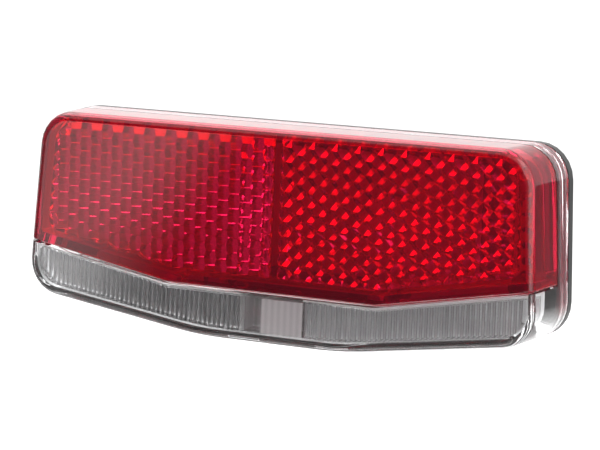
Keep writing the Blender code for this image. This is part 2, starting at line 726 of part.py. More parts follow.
def make_panel():
    """The cup ends in a tongue that plugs into the clear band behind it."""
    seam_share = PANEL_SEAM_FILLET / FRONT_FILLET
    rings = [panel_ring(depth, inset, inset * seam_share) for depth, inset in quarter_round()]
    shoulder, tongue_end = SPLIT_Y - FIT_GAP, SPLIT_Y + TONGUE_HEIGHT
    outer, inner = TONGUE_INSET, TONGUE_INSET + TONGUE_WALL
    root_end = shoulder - TONGUE_ROOT
    rings += [
        panel_rim_ring(shoulder, 0.0, 0.0),
        panel_rim_ring(shoulder, outer, outer),
        panel_rim_ring(tongue_end, outer, outer),
        panel_rim_ring(tongue_end, inner, inner),
        panel_rim_ring(root_end, inner, inner),
        panel_rim_ring(root_end - (inner - PANEL_WALL), PANEL_WALL, PANEL_WALL),
        panel_ring(PANEL_THICKNESS, PANEL_WALL, PANEL_WALL),
    ]
    panel = loft("reflector_panel", rings, RED_PLASTIC)
    add(panel, prism_field("left_prisms", -1), prism_field("right_prisms", 1))
    notch_half = BOARD_HALF + 3 * FIT_GAP
    notch_front = BOARD_FRONT - CAPACITOR_HEIGHT - 3 * FIT_GAP
    low = (-notch_half, notch_front, SEAM_Z - OVERLAP)
    cut(panel, box("board_notch", low, (notch_half, tongue_end + OVERLAP, BOARD_TOP + OVERLAP + 3 * FIT_GAP)))


# Light guide: one clear bar, ribbed behind, with a collector block round the lamp
def guide_plan():
    """Plan of the bar: flat in front, saw-edged behind, the block in the middle."""
    reach = max(FACE_HALF_BOTTOM, FLANGE_HALF_BOTTOM)
    front, root = straight_back(INNER_FIT), straight_back(GUIDE_BACK)
    tip = root + RIB_HEIGHT
    block = root + COLLECTOR_DEPTH
    ribs = int((reach - COLLECTOR_HALF) / RIB_PITCH)
    right = [(COLLECTOR_HALF, block), (COLLECTOR_HALF, root)]
    for rib in range(ribs):
        start = COLLECTOR_HALF + RIB_PITCH * (rib + 0.5)
        right += [(start, root), (start + RIB_PITCH * RIB_CREST, tip)]
    right += [(reach, root), (reach, front)]
    return right + [(-x, y) for x, y in reversed(right)]


def make_guide():
    height = 2 * (LIGHT_TOP - LIGHT_BOTTOM)
    saw = plate("guide_plan", [guide_plan()], height, face_frame())
    seam = 2 * FIT_GAP + TRAY_SHELF
    block_back = GUIDE_BACK + COLLECTOR_DEPTH + OVERLAP
    rings = [strip_ring(depth, seam, INNER_FIT) for depth in (INNER_FIT, block_back)]
    guide = loft("light_guide", rings, CLEAR_PLASTIC)
    combine(guide, saw, "INTERSECT")
    cut(guide, lamp_solid("lamp_pocket", FIT_GAP))


def make_tray():
    """A silver tray behind the guide, with a shelf between the guide and the red panel."""
    rings = [strip_ring(depth, FIT_GAP, INNER_FIT) for depth in (INNER_FIT, TRAY_BACK)]
    tray = loft("light_tray", rings, SILVER_PLASTIC)
    below_shelf = FIT_GAP + TRAY_SHELF
    room = [strip_ring(depth, below_shelf, -INNER_FIT) for depth in (-INNER_FIT, TRAY_FRONT)]
    cut(tray, loft("guide_room", room))
    slot_half = COLLECTOR_HALF + FIT_GAP
    low = (-slot_half, FACE_Y - COVER_DEPTH, LIGHT_BOTTOM - OVERLAP)
    slot_top = SEAM_Z - FIT_GAP - TRAY_SHELF / 2
    cut(tray, box("collector_slot", low, (slot_half, FLANGE_FRONT, slot_top)))
    for side, sign in (("left", -1), ("right", 1)):
        x = sign * TRAY_POST_X
        start = (x, face_y(BOARD_MIDDLE) + TRAY_BACK - OVERLAP, LAMP_Z)
        add(tray, rod("tray_post_" + side, start, (x, BOARD_FRONT - FIT_GAP, LAMP_Z), TRAY_POST_RADIUS))


# Circuit board with the lamp in front and the switch behind
def can_profile(radius, height):
    """A capacitor's can, from its rounded top down to its foot."""
    return [
        (0, height),
        (radius - CAPACITOR_EDGE, height),
        (radius, height - CAPACITOR_EDGE),
        (radius, 0),
        (0, 0),
    ]


def make_board():
    half_height = (BOARD_TOP - BOARD_BOTTOM) / 2
    place = Matrix.Translation((0, (BOARD_FRONT + BOARD_BACK) / 2, BOARD_MIDDLE)) @ STANDING
    outline = rectangle(BOARD_HALF, half_height, BOARD_CORNER)
    board = plate("circuit_board", [outline], BOARD_THICKNESS, place, BOARD_GREEN)
    for side, x in screw_places():
        hole = rod("board_hole_" + side, (x, BOARD_FRONT - OVERLAP, BOARD_MIDDLE),
                   (x, BOARD_BACK + OVERLAP, BOARD_MIDDLE), SCREW_RADIUS + FIT_GAP)
        cut(board, hole)
    front = BOARD_FRONT - FIT_GAP
    width, height, length = CHIP_SIZE
    low = (CHIP_X - width / 2, front - height, BOARD_MIDDLE - length / 2)
    high = (CHIP_X + width / 2, front, BOARD_MIDDLE + length / 2)
    box("driver_chip", low, high, CHIP_BLACK, CHIP_BEVEL)
    can = can_profile(CAPACITOR_RADIUS, CAPACITOR_HEIGHT)
    turned("capacitor", can, (CAPACITOR_X, front, BOARD_MIDDLE), (0, -1, 0), FOIL_SLEEVE)
    can = can_profile(STORE_RADIUS, STORE_LENGTH)
    turned("standlight_capacitor", can, (STORE_START_X, STORE_Y, BOARD_MIDDLE), (1, 0, 0), FOIL_SLEEVE)
    width, height, length = RESISTOR_SIZE
    for side, sign in (("left", -1), ("right", 1)):
        x, back = sign * RESISTOR_X, BOARD_BACK + FIT_GAP
        low = (x - width / 2, back, BOARD_MIDDLE - length / 2)
        high = (x + width / 2, back + height, BOARD_MIDDLE + length / 2)
        box("resistor_" + side, low, high, CERAMIC, CHIP_BEVEL)


def screw_places():
    return [("left", -BOARD_POST_X), ("right", BOARD_POST_X)]


def make_board_screws():
    for side, x in screw_places():
        head, radius = SCREW_HEAD_HEIGHT + FIT_GAP, SCREW_HEAD_RADIUS
        profile = [
            (0, head),
            (radius * 0.6, head),
            (radius, head - SCREW_HEAD_HEIGHT / 2),
            (radius, FIT_GAP),
            (SCREW_RADIUS, FIT_GAP),
            (SCREW_RADIUS, SCREW_RADIUS - SCREW_LENGTH),
            (0, -SCREW_LENGTH),
        ]
        turned("board_screw_" + side, profile, (x, BOARD_FRONT, BOARD_MIDDLE), (0, -1, 0), STEEL)


def lamp_profile(growth):
    """Rim, barrel and dome of the lamp, from the dome's top down to the board."""
    radius, rim = LAMP_RADIUS + growth, LAMP_RIM_RADIUS + growth
    shoulder = LAMP_LENGTH - LAMP_RADIUS
    angles = [math.radians(18 * k) for k in range(6)]
    dome = [(radius * math.sin(a), shoulder + radius * math.cos(a)) for a in angles]
    rim_top = LAMP_RIM_HEIGHT + growth
    return dome + [(radius, rim_top), (rim, rim_top), (rim, -growth), (0, -growth)]


def lamp_solid(name, growth, look=None):
    return turned(name, lamp_profile(growth), (0, BOARD_FRONT - FIT_GAP, LAMP_Z), (0, -1, 0), look)


def make_switch():
    low = (-SWITCH_WIDTH / 2, SWITCH_BACK - SWITCH_DEPTH, SWITCH_BOTTOM)
    body = box("switch_body", low, (SWITCH_WIDTH / 2, SWITCH_BACK, SWITCH_TOP), CHIP_BLACK)
    top = SWITCH_BOTTOM + PLUNGER_IN
    bore_top = (0, BUTTON_Y, top + BUTTON_TRAVEL + FIT_GAP)
    bore_low = (0, BUTTON_Y, SWITCH_BOTTOM - OVERLAP)
    cut(body, rod("plunger_bore", bore_low, bore_top, PLUNGER_RADIUS + FIT_GAP))
    length = top - PLUNGER_END
    radius, edge = PLUNGER_RADIUS, PLUNGER_EDGE
    profile = [(0, length), (radius, length), (radius, edge), (radius - edge, 0), (0, 0)]
    turned("switch_plunger", profile, (0, BUTTON_Y, PLUNGER_END), (0, 0, 1), CERAMIC)


def make_button():
    """Cap, retaining flange and the post that pushes the switch's plunger."""
    flange_low = BUTTON_FLANGE_HEIGHT
    cap = BUTTON_RADIUS
    bottom = -(FIT_GAP + HOUSING_WALL + BUTTON_PROUD)
    dome = [
        (cap, bottom + BUTTON_DOME),
        (cap * 0.9, bottom + BUTTON_DOME * 0.45),
        (cap * 0.6, bottom + BUTTON_DOME * 0.1),
        (0, bottom),
    ]
    profile = [
        (0, flange_low + BUTTON_POST),
        (BUTTON_POST_RADIUS, flange_low + BUTTON_POST),
        (BUTTON_POST_RADIUS, flange_low),
        (cap + BUTTON_FLANGE, flange_low),
        (cap + BUTTON_FLANGE, 0),
        (cap, 0),
    ]
    turned("power_button", profile + dome, (0, BUTTON_Y, BUTTON_SEAT), (0, 0, 1), RUBBER)


# Two blades through the back wall, each with a shoulder inside
def terminal_places():
    return [("left", -TERMINAL_X), ("right", TERMINAL_X)]


def make_terminals():
    half, shoulder, corner = TERMINAL_HALF_WIDTH, TERMINAL_SHOULDER_HALF, TERMINAL_CORNER
    neck = WALL_INNER_Y - FIT_GAP
    end = neck - TERMINAL_SHOULDER
    tip = TERMINAL_REACH
    right = [(shoulder, end), (shoulder, neck), (half, neck), (half, tip - corner), (half - corner, tip)]
    outline = right + [(-x, y) for x, y in reversed(right)]
    for side, x in terminal_places():
        place = Matrix.Translation((x, 0, TERMINAL_Z))
        blade = plate("terminal_" + side, [outline], TERMINAL_THICKNESS, place, TERMINAL_METAL)
        low = (x, tip - half, TERMINAL_Z - TERMINAL_THICKNESS)
        high = (x, tip - half, TERMINAL_Z + TERMINAL_THICKNESS)
        cut(blade, rod("terminal_hole_" + side, low, high, TERMINAL_HOLE))


# Studs moulded into the housing, with the washers and nuts that clamp the carrier plate
def stud_places():
    return [("left", -STUD_SPACING / 2), ("right", STUD_SPACING / 2)]


def hexagon(name, start_y, end_y, flats, x, look=None):
    low, high = (x, start_y, 0), (x, end_y, 0)
    return rod(name, low, high, flats / math.sqrt(3), look, 6)


def stud_solid(name, x, growth, look=None):
    """A bolt whose head sits behind the web, pointing at the carrier."""
    tip = STUD_LENGTH + (OVERLAP if look is None else 0.0)
    radius = STUD_RADIUS + growth
    back, front = growth - STUD_WEB, -STUD_WEB - HEAD_HEIGHT - growth
    head = hexagon(name, back, front, HEAD_FLATS + 2 * growth, x, look)
    profile = [
        (0, tip),
        (radius - STUD_TIP, tip),
        (radius, tip - STUD_TIP),
        (radius, -STUD_WEB - HEAD_HEIGHT / 2),
        (0, -STUD_WEB - HEAD_HEIGHT / 2),
    ]
    add(head, turned(name + "_shank", profile, (x, 0, 0), (0, 1, 0)))
    return head


def make_fixings():
    for side, x in stud_places():
        stud_solid("stud_" + side, x, 0.0, STEEL)
        hole = STUD_RADIUS + FIT_GAP
        low, high = FIT_GAP, FIT_GAP + WASHER_THICKNESS
        washer = rod("washer_" + side, (x, low, 0), (x, high, 0), WASHER_RADIUS, STEEL)
        cut(washer, rod("washer_hole_" + side, (x, low - OVERLAP, 0), (x, high + OVERLAP, 0), hole))
        low, high = high + FIT_GAP, high + FIT_GAP + NUT_HEIGHT
        nut = hexagon("nut_" + side, low, high, HEAD_FLATS, x, STEEL)
        cut(nut, rod("nut_hole_" + side, (x, low - OVERLAP, 0), (x, high + OVERLAP, 0), hole))


make_housing()
make_seal()
make_cover()
make_panel()
make_guide()
make_tray()
make_board()
make_board_screws()
lamp_solid("lamp", 0.0, LAMP_RED)
make_switch()
make_button()
make_terminals()
make_fixings()
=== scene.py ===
# %% [markdown]
# # A bicycle rear light in Blender
#
# The light is a red reflector panel in a clear cover, a ribbed clear strip under it and a black
# housing with two studs behind. The solid parts come ready made, as a fixed frame. This lesson
# gives each of them its surface, places the camera and sets a small studio round them.

# %% Load the frame and note its size
import json
import math

import bmesh
import bpy
from mathutils import Matrix, Vector

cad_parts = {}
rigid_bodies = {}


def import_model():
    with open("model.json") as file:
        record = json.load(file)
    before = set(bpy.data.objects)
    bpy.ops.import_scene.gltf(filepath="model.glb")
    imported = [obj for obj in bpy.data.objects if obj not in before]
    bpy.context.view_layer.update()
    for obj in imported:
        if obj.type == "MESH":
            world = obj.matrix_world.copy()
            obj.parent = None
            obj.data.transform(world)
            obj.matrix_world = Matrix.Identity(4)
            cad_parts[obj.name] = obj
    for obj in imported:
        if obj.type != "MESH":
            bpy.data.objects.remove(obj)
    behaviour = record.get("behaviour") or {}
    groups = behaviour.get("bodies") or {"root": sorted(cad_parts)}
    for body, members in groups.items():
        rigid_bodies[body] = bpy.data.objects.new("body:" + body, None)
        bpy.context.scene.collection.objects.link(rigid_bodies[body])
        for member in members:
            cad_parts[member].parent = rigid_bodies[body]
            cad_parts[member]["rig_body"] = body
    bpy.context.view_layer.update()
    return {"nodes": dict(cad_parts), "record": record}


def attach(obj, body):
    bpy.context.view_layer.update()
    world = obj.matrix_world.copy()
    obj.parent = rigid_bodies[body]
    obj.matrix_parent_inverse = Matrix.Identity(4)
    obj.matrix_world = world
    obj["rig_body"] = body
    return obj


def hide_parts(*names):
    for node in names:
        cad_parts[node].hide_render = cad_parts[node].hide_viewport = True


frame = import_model()
MM = 0.001

# %% [markdown]
# ## Shader maths as Python
#
# A finish is a small program: it takes a place on the piece, makes noise or stripes of it, and
# sends the result to a shader. Long chains of Math nodes are hard to read on a screen. Here a
# wire stands for one output of a node, and adding or multiplying wires adds the Math nodes.
# Vectors and colours keep nodes of their own, because a Math node makes one number of them.

# %% A wire
class Wire:
    """One output of a node. Arithmetic on wires and numbers adds Math nodes."""

    def __init__(self, recipe, node, output=0):
        self.recipe = recipe
        self.node = node
        self.socket = node.outputs[output] if node.outputs else None

    def out(self, output):
        return Wire(self.recipe, self.node, output)

    def math(self, operation, *others):
        sockets = dict(enumerate((self,) + others))
        return self.recipe.node("ShaderNodeMath", {"operation": operation}, sockets)

    def __add__(self, other):
        return self.math("ADD", other)

    def __radd__(self, other):
        return self.math("ADD", other)

    def __sub__(self, other):
        return self.math("SUBTRACT", other)

    def __rsub__(self, other):
        return self.recipe.node("ShaderNodeMath", {"operation": "SUBTRACT"}, {0: other, 1: self})

    def __mul__(self, other):
        return self.math("MULTIPLY", other)

    def __rmul__(self, other):
        return self.math("MULTIPLY", other)

    def __abs__(self):
        return self.math("ABSOLUTE")

    def wave(self, length):
        """A sine, from -1 to 1, that repeats after this length."""
        return (self * (2 * math.pi / length)).math("SINE")

    def ramp(self, start, end, low=0.0, high=1.0):
        """A number that goes from low to high while the wire goes from start to end."""
        sockets = {"Value": self, "From Min": start, "From Max": end, "To Min": low, "To Max": high}
        return self.recipe.node("ShaderNodeMapRange", None, sockets)

    def past(self, border, soft):
        """0 before a border and 1 past it, with a soft edge of this half width."""
        return self.ramp(border - soft, border + soft)


print("a wire adds, takes away, multiplies, waves and ramps")


# %% A recipe
class Recipe:
    """The node tree of a material or of the world."""

    def __init__(self, owner):
        owner.use_nodes = True
        self.tree = owner.node_tree
        self.tree.nodes.clear()

    def node(self, kind, settings=None, sockets=None, output=0):
        """A new node: its type, its settings, then the values or wires of its sockets."""
        made = self.tree.nodes.new(kind)
        for name, value in (settings or {}).items():
            setattr(made, name, value)
        for name, value in (sockets or {}).items():
            if isinstance(value, Wire):
                self.tree.links.new(value.socket, made.inputs[name])
            else:
                made.inputs[name].default_value = value
        return Wire(self, made, output)

    def dot(self, first, second):
        """The dot product of two vectors, one number."""
        settings = {"operation": "DOT_PRODUCT"}
        return self.node("ShaderNodeVectorMath", settings, {0: first, 1: second}, output="Value")

    def split(self, vector):
        """The three numbers of a vector, as outputs X, Y and Z."""
        return self.node("ShaderNodeSeparateXYZ", None, {"Vector": vector})

    def pigment(self, red, green, blue):
        """A colour made of three numbers."""
        return self.node("ShaderNodeCombineColor", None, {"Red": red, "Green": green, "Blue": blue})

    def mix_colours(self, share, first, second):
        """The first colour where share is 0, the second where it is 1. A Mix node numbers its sockets."""
        sockets = {0: share, 6: first, 7: second}
        return self.node("ShaderNodeMix", {"data_type": "RGBA"}, sockets, output=2)

    def mix_shaders(self, share, first, second):
        return self.node("ShaderNodeMixShader", None, {0: share, 1: first, 2: second})

    def principled(self, sockets):
        return self.node("ShaderNodeBsdfPrincipled", None, sockets)

    def surface(self, shader):
        self.node("ShaderNodeOutputMaterial", None, {"Surface": shader})


print("a recipe makes nodes of any type")

# %% [markdown]
# ## A finish with grain
#
# A moulded or plated surface is never one flat colour. Its tint drifts a little, its gloss
# changes from place to place, and plastic has a fine grain. Noise in the piece's own space does
# all three, and needs no picture and no unwrapping.

# %% A finish
def colour(red, green, blue):
    return (red, green, blue, 1.0)


def noise(recipe, size, detail=3.0):
    """Noise from 0 to 1 whose lumps are about this size."""
    place = recipe.node("ShaderNodeTexCoord", output="Object")
    sockets = {"Vector": place, "Scale": 1.0 / size, "Detail": detail, "Roughness": 0.5}
    return recipe.node("ShaderNodeTexNoise", {"noise_dimensions": "3D"}, sockets)


def grain(recipe, size, height):
    """A bumpy normal with grains of this size and height."""
    sockets = {"Height": noise(recipe, size, 2.0), "Distance": height, "Strength": 0.6}
    return recipe.node("ShaderNodeBump", None, sockets)


TINT_LUMPS = 6 * MM
GLOSS_LUMPS = 4 * MM


def finish(name, tint, gloss, metallic=0.0, grains=None):
    """An opaque surface. Noise moves it between two tints and between two roughnesses."""
    made = bpy.data.materials.new(name)
    recipe = Recipe(made)
    sockets = {"Metallic": metallic}
    sockets["Base Color"] = recipe.mix_colours(noise(recipe, TINT_LUMPS), *tint)
    sockets["Roughness"] = noise(recipe, GLOSS_LUMPS).ramp(0.0, 1.0, *gloss)
    if grains:
        sockets["Normal"] = grain(recipe, *grains)
    recipe.surface(recipe.principled(sockets))
    return made


def acrylic(recipe, tint, roughness=0.02, index=1.49, clear=1.0):
    """A clear or tinted moulding that bends the light as the real plastic does."""
    return recipe.principled({
        "Base Color": tint,
        "Roughness": roughness,
        "IOR": index,
        "Transmission Weight": clear,
    })


CLEAR = colour(0.96, 0.965, 0.97)
print("finishes: opaque with grain, and acrylic")

# %% [markdown]
# ## The red panel
#
# The panel is transparent red acrylic, and its sparkle is not painted on. The cells on its back
# are cube corners, modelled as solid prisms. Light that enters the front meets three of their
# faces in turn and goes back the way it came, or leaves past them into the housing. A plain
# refracting shader finds all these paths by itself. A small share of it scatters like opaque
# plastic, which gives the faint pink haze of the real one.

# %% Red acrylic
red_acrylic = bpy.data.materials.new("red_acrylic")
recipe = Recipe(red_acrylic)
recipe.surface(acrylic(recipe, colour(0.84, 0.006, 0.065), clear=0.94))
print("made", red_acrylic.name)

# %% [markdown]
# ## The clear cover
#
# The cover is a clear cup over the panel and the strip. The panel's skirt ends a few millimetres
# before the cover's rear edge, and there the clear wall picks up red light and shows a faint
# pink. That light is painted: a thin share of pink plastic near that edge, stronger beside the
# panel, stands in for it as a painted glow. It is a mix of two shaders, because a refracting
# shader alone scatters no light.

# %% Cover with a painted pink glow at its rear edge
SKIRT_END = -14.8 * MM
PANEL_FOOT = -10 * MM
# The pink tint near the rear edge is a painted glow of red light from the panel.
PAINTED_GLOW_LEVEL = 0.01
PAINTED_GLOW_BESIDE_PANEL = 0.055

cover_acrylic = bpy.data.materials.new("cover_acrylic")
recipe = Recipe(cover_acrylic)
place = recipe.split(recipe.node("ShaderNodeNewGeometry").out("Position"))
rear_edge = place.out("Y").past(SKIRT_END, 0.6 * MM)
beside_panel = place.out("Z").past(PANEL_FOOT, 1 * MM)
painted_glow_share = rear_edge * (PAINTED_GLOW_LEVEL + beside_panel * PAINTED_GLOW_BESIDE_PANEL)
painted_pink_glow = recipe.principled({"Base Color": colour(0.85, 0.12, 0.18), "Roughness": 0.3})
recipe.surface(recipe.mix_shaders(painted_glow_share, acrylic(recipe, CLEAR), painted_pink_glow))
print("made", cover_acrylic.name, "with a veil of", round(PAINTED_GLOW_LEVEL + PAINTED_GLOW_BESIDE_PANEL, 3), "beside the panel")

# %% [markdown]
# ## The light guide
#
# The strip is one clear bar. A block in its middle collects the light of the lamp, and saw ribs
# on the back throw it forwards over the whole width. On the real light the block looks milky,
# more so on its right part, with upright lines in it, and the crests of the ribs are a little
# frosted. All of this follows from the place on the bar, so its position picks the share of
# milky plastic, and sine waves across the light draw the lines and the crests.

# %% Where the guide is milky
BLOCK_EDGE = 6.5 * MM
BLOCK_BACK = -21 * MM
PALE_FROM = -2 * MM
RIBS_FROM = 7 * MM
RIBS_BACK = -22.4 * MM
RIB_PITCH = 1 * MM
SOFT = 0.2 * MM

guide_acrylic = bpy.data.materials.new("guide_acrylic")
recipe = Recipe(guide_acrylic)
place = recipe.split(recipe.node("ShaderNodeNewGeometry").out("Position"))
across = place.out("X")
off_middle = abs(across)
in_block = 1.0 - off_middle.past(BLOCK_EDGE, SOFT / 2)
block_back = place.out("Y").past(BLOCK_BACK, SOFT)
right_part = across.past(PALE_FROM, SOFT)
in_ribs = off_middle.past(RIBS_FROM, SOFT)
ribs_back = place.out("Y").past(RIBS_BACK, SOFT)
crests = across.wave(RIB_PITCH)
block_share = in_block * (0.25 + right_part * 0.38 + block_back * 0.35)
rib_share = in_ribs * ribs_back * (0.55 + crests * 0.4) * 0.5
print("milky within", BLOCK_EDGE / MM, "mm of the middle, crests every", RIB_PITCH / MM, "mm")

# %% Guide of clear and milky plastic
LINE_PITCH = 1.3 * MM
LESS_GREEN, LESS_BLUE = 0.92, 0.93

lines = across.wave(LINE_PITCH) * 0.5 + 0.5
milk = 0.5 + right_part * 0.5 + lines * 0.2 - right_part * lines * 0.35
milky = recipe.principled({
    "Base Color": recipe.pigment(milk, milk * LESS_GREEN, milk * LESS_BLUE),
    "Roughness": 0.4,
})
recipe.surface(recipe.mix_shaders(block_share + rib_share, acrylic(recipe, CLEAR), milky))
print("made", guide_acrylic.name)

# %% [markdown]
# ## The rear housing
#
# The housing is black outside, with the fine grain of a textured mould. Its inside has to be
# pale, because the cells of a real reflector look bright over their whole height, and a black
# room behind them would show through. One solid has both sides, so the finish asks which way a
# face looks: on the outside the normal points away from the middle of the housing, and on the
# inside it points towards it. The dot product of the two directions tells them apart. The back
# wall and the two end walls are a little greyer than the rest, as painted shade deep inside.

# %% Which side of the housing is it
HOUSING_MIDDLE = (0.0, -12 * MM, 0.0)

black_plastic = bpy.data.materials.new("black_plastic")
recipe = Recipe(black_plastic)
geometry = recipe.node("ShaderNodeNewGeometry")
ends = {0: geometry.out("Position"), 1: HOUSING_MIDDLE}
arm = recipe.node("ShaderNodeVectorMath", {"operation": "SUBTRACT"}, ends)
outwards = recipe.dot(arm, geometry.out("Normal"))
inside = outwards.ramp(-1 * MM, -2 * MM)
facing = recipe.split(geometry.out("Normal"))
back_wall = facing.out("Y").ramp(-0.5, -0.9)
end_wall = abs(facing.out("X"))
print("inside of the housing found by its normals")

# %% Black outside, pale inside
PALE = 0.88
# The inner back and end walls are darkened by these amounts: painted shade.
BACK_WALL_PAINTED_SHADE, END_WALL_PAINTED_SHADE = 0.45, 0.3
BLACK = 0.012

drift = noise(recipe, GLOSS_LUMPS)
# The inside tone carries painted shade on the back and end walls.
pale = (PALE - back_wall * BACK_WALL_PAINTED_SHADE - end_wall * END_WALL_PAINTED_SHADE) * (0.95 + drift * 0.1)
black = BLACK + drift * 0.01
tone = inside * pale + (1.0 - inside) * black
recipe.surface(recipe.principled({
    "Base Color": recipe.pigment(tone, tone, tone),
    "Roughness": 0.35 + drift * 0.15,
    "Normal": grain(recipe, 0.35 * MM, 0.02 * MM),
}))
print("made", black_plastic.name)

# %% [markdown]
# ## The small parts
#
# Behind the strip lie a light grey tray and the board with its parts, which show only as shades
# through the clear pieces. The studs, washers and nuts are zinc plated, which is a soft grey
# metal, and the blades for the lead are nickel plated brass. Each takes the finish from above
# with its own pair of tints and its own gloss.

# %% Finishes of the small parts
silver_plastic = finish("silver_plastic", (colour(0.84, 0.83, 0.83), colour(0.9, 0.89, 0.89)), (0.3, 0.4))
rubber = finish("rubber", (colour(0.02, 0.02, 0.02), colour(0.03, 0.03, 0.03)), (0.6, 0.8),
                grains=(0.2 * MM, 0.03 * MM))
zinc = finish("zinc", (colour(0.36, 0.37, 0.4), colour(0.45, 0.45, 0.45)), (0.26, 0.4), metallic=1.0)
nickel = finish("nickel", (colour(0.66, 0.62, 0.55), colour(0.72, 0.68, 0.6)), (0.15, 0.25), metallic=1.0)
foil = finish("foil", (colour(0.1, 0.11, 0.14), colour(0.14, 0.15, 0.18)), (0.25, 0.4), metallic=0.6)
solder_mask = finish("solder_mask", (colour(0.01, 0.12, 0.04), colour(0.02, 0.17, 0.06)), (0.3, 0.45))
resin = finish("resin", (colour(0.02, 0.02, 0.022), colour(0.03, 0.03, 0.032)), (0.45, 0.6))
ceramic = finish("ceramic", (colour(0.3, 0.28, 0.25), colour(0.38, 0.36, 0.33)), (0.5, 0.6))
lamp_lens = bpy.data.materials.new("lamp_lens")
recipe = Recipe(lamp_lens)
recipe.surface(acrylic(recipe, colour(0.95, 0.9, 0.9), roughness=0.05, index=1.5))
print("finishes:", len(bpy.data.materials))

# %% [markdown]
# ## Dressing the solids
#
# The frame's meshes are triangles that don't share corners, so they shade as facets. Each node
# gets a copy that is welded, with its flat areas joined again, and shaded smooth up to a chosen
# angle. Smooth shading alone bends the light near the rim of a large flat face, and a mirror
# shows that at once. Normals weighted by face area keep the flat faces flat and leave the bend
# to the rounded edges.

# %% Dress a node
WELD = 0.002 * MM
FLAT_ANGLE = math.radians(0.4)
SMOOTH_ANGLE = math.radians(40.0)
FULL_WEIGHT = 100


def dress(node, material):
    """A welded, smooth copy that stands for a node of the frame."""
    source = frame["nodes"][node]
    bm = bmesh.new()
    bm.from_mesh(source.data)
    bmesh.ops.remove_doubles(bm, verts=bm.verts, dist=WELD)
    bmesh.ops.dissolve_limit(bm, angle_limit=FLAT_ANGLE, verts=bm.verts, edges=bm.edges)
    bm.verts.index_update()
    mesh = bpy.data.meshes.new(node + "_skin")
    faces = [[corner.index for corner in face.verts] for face in bm.faces]
    mesh.from_pydata([corner.co for corner in bm.verts], [], faces)
    bm.free()
    mesh.shade_smooth()
    mesh.set_sharp_from_angle(angle=SMOOTH_ANGLE)
    mesh.materials.append(material)
    piece = bpy.data.objects.new(node + "_skin", mesh)
    bpy.context.scene.collection.objects.link(piece)
    flats = piece.modifiers.new("flats", "WEIGHTED_NORMAL")
    flats.mode = "FACE_AREA"
    flats.weight = FULL_WEIGHT
    flats.keep_sharp = True
    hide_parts(node)
    body = source["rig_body"]
    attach(piece, body)
    return piece


print("dress() welds, joins flats and weights normals")

# %% [markdown]
# ## Which piece wears what
#
# The record names a material slot for every node. Most finishes go by that slot. The cover and
# the guide share the slot of clear plastic but not the finish, so those two go by their names.

# %% Dress all nodes
by_node = {"front_cover": cover_acrylic, "light_guide": guide_acrylic}
by_slot = {
    "black_plastic": black_plastic,
    "red_plastic": red_acrylic,
    "silver_plastic": silver_plastic,
    "rubber": rubber,
    "steel": zinc,
    "nickel": nickel,
    "foil_sleeve": foil,
    "board_green": solder_mask,
    "chip_black": resin,
    "ceramic": ceramic,
    "lamp_lens": lamp_lens,
}
dressed = []
for part in frame["record"]["subparts"]:
    node = part["node"]
    slot = part["material_slot"]
    material = by_node[node] if node in by_node else by_slot[slot]
    dressed.append(dress(node, material))
print("dressed:", len(dressed))

# %% [markdown]
# ## Camera
#
# The photo was taken from the light's right, a little above it, with a long lens. Directions in
# this lesson are an azimuth and an elevation: 0, 0 looks at the red face straight on, and a
# positive azimuth moves to the light's right. The lens is given as its focal length in pixels,
# because that is what a fit of the camera to the photo gives, and a shift moves the picture.

# %% Camera
IMAGE_WIDTH = 600.0
FOCAL_PIXELS = 2997.0
SHIFT_PIXELS = (-10.7, 2.5)
CAMERA_AZIMUTH, CAMERA_ELEVATION = 29.65, 9.0
CAMERA_ROLL = math.radians(0.75)
DISTANCE = 543 * MM
TARGET = Vector((0.0, -10.16 * MM, 0.0))


def direction(azimuth, elevation):
    """The unit vector from the light towards a direction given in degrees."""
    a, e = math.radians(azimuth), math.radians(elevation)
    return Vector((math.sin(a) * math.cos(e), -math.cos(a) * math.cos(e), math.sin(e)))


back = direction(CAMERA_AZIMUTH, CAMERA_ELEVATION)
right = Vector((0.0, 0.0, 1.0)).cross(back).normalized()
up = back.cross(right)
camera_x = right * math.cos(CAMERA_ROLL) + up * math.sin(CAMERA_ROLL)
camera_y = up * math.cos(CAMERA_ROLL) - right * math.sin(CAMERA_ROLL)
camera_data = bpy.data.cameras.new("camera")
camera_data.lens = FOCAL_PIXELS / IMAGE_WIDTH * camera_data.sensor_width
camera_data.shift_x = SHIFT_PIXELS[0] / IMAGE_WIDTH
camera_data.shift_y = SHIFT_PIXELS[1] / IMAGE_WIDTH
camera = bpy.data.objects.new("camera", camera_data)
turn = Matrix((camera_x, camera_y, back)).transposed().to_4x4()
camera.matrix_world = Matrix.Translation(TARGET + back * DISTANCE) @ turn
bpy.context.scene.collection.objects.link(camera)
bpy.context.scene.camera = camera
print("lens", round(camera_data.lens, 1))

# %% [markdown]
# ## Studio
#
# A reflector shows its surroundings more than itself, so the studio decides how it looks. The
# world is a pale dome, and its brightness is a function of the direction. Lamp objects could do
# the same, but a dome has no gaps, and each part of it can be aimed in degrees. `toward` gives a
# round patch with a soft rim, and `left_of` gives a straight edge.

# %% Patches of the dome
world = bpy.data.worlds.new("studio")
bpy.context.scene.world = world
studio = Recipe(world)
heading = studio.node("ShaderNodeTexCoord", output="Generated")


def soft_step(value, low, high):
    """0 below low, 1 above high, with a smooth change between them."""
    sockets = {"Value": value, "From Min": low, "From Max": high}
    return studio.node("ShaderNodeMapRange", {"interpolation_type": "SMOOTHSTEP"}, sockets)


def toward(azimuth, elevation, inner, outer):
    """1 within inner degrees of a direction, 0 beyond outer degrees."""
    nearness = studio.dot(heading, tuple(direction(azimuth, elevation)))
    return soft_step(nearness, math.cos(math.radians(outer)), math.cos(math.radians(inner)))


